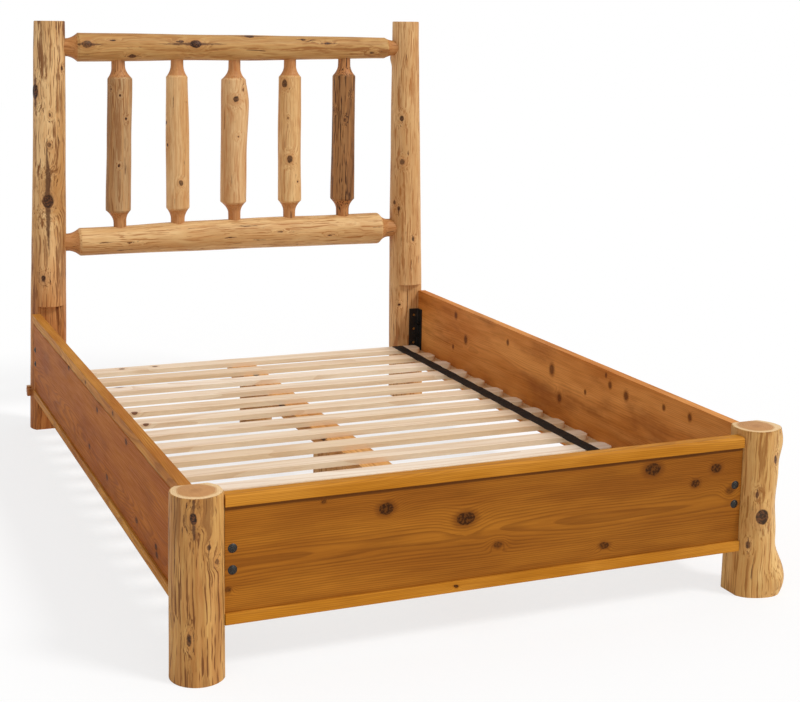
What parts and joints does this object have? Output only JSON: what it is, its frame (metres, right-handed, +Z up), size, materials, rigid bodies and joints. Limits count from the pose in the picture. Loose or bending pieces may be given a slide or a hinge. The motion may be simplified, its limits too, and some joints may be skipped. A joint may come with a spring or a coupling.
{
  "type": "rustic log bed frame",
  "caption": "Rustic bed frame of peeled log posts with a spindle headboard, plank side and foot rails, and a lift-out roll of slats on cleats and a centre beam.",
  "frame": {"origin": "on the floor, under the middle of the frame, on the centreline between the side rails and half way from the foot posts' front to the head posts' back", "axes": "+Z up; +Y from the foot of the bed to the headboard; +X across the bed, to the right seen from the foot"},
  "size_m": [1.5636, 2.1338, 1.39],
  "materials": {
    "peeled_log_post": "satin lacquer over a peeled log, pale with brown streaks and knots",
    "peeled_log_rail": "satin lacquer over a peeled log",
    "peeled_log_spindle": "satin lacquer over a peeled branch",
    "side_plank": "satin stained plank, reddish brown",
    "foot_plank": "satin stained plank, honey brown with knots",
    "side_strip": "satin stained strip, orange brown",
    "foot_strip": "satin stained strip, golden orange",
    "slat_pine": "planed pine, unfinished",
    "cleat_wood": "stained softwood",
    "dowel_beech": "plain beech dowel",
    "bracket_black": "black paint, satin",
    "screw_brass": "yellow zinc",
    "bolt_dark": "dark bronzed steel",
    "screw_steel": "plain zinc",
    "black_webbing": "woven polypropylene webbing",
    "staple_steel": "bright wire"
  },
  "bodies": {
    "frame": {"bolt_nuts": "bolt_dark", "bracket_foot_left": "bracket_black", "bracket_foot_rail_left": "bracket_black", "bracket_foot_rail_right": "bracket_black", "bracket_foot_right": "bracket_black", "bracket_head_left": "bracket_black", "bracket_head_right": "bracket_black", "bracket_screws": "screw_brass", "carriage_bolts": "bolt_dark", "centre_beam": "cleat_wood", "centre_leg_head": "peeled_log_post", "centre_leg_middle": "peeled_log_post", "cleat_screws": "screw_steel", "foot_beam_cleat": "cleat_wood", "foot_post_left": "peeled_log_post", "foot_post_right": "peeled_log_post", "foot_rail_board": "foot_plank", "foot_rail_bottom_strip": "foot_strip", "foot_rail_top_strip": "foot_strip", "head_post_left": "peeled_log_post", "head_post_right": "peeled_log_post", "headboard_bottom_rail": "peeled_log_rail", "headboard_top_rail": "peeled_log_rail", "leg_lag_screws": "screw_steel", "rail_dowels": "dowel_beech", "side_rail_left_board": "side_plank", "side_rail_left_bottom_strip": "side_strip", "side_rail_left_top_strip": "side_strip", "side_rail_right_board": "side_plank", "side_rail_right_bottom_strip": "side_strip", "side_rail_right_top_strip": "side_strip", "slat_cleat_left": "cleat_wood", "slat_cleat_right": "cleat_wood", "spindle_1": "peeled_log_spindle", "spindle_2": "peeled_log_spindle", "spindle_3": "peeled_log_spindle", "spindle_4": "peeled_log_spindle", "spindle_5": "peeled_log_spindle"},
    "slat_roll": {"slat_01": "slat_pine", "slat_02": "slat_pine", "slat_03": "slat_pine", "slat_04": "slat_pine", "slat_05": "slat_pine", "slat_06": "slat_pine", "slat_07": "slat_pine", "slat_08": "slat_pine", "slat_09": "slat_pine", "slat_10": "slat_pine", "slat_11": "slat_pine", "slat_12": "slat_pine", "slat_13": "slat_pine", "slat_14": "slat_pine", "slat_15": "slat_pine", "webbing_left": "black_webbing", "webbing_right": "black_webbing", "strap_staples": "staple_steel"}
  },
  "joints": [
    {"name": "slat_roll_lift", "type": "slide", "parent": "frame", "child": "slat_roll", "axis": [0, 0, 1], "range_m": [0, 0.225]}
  ]
}
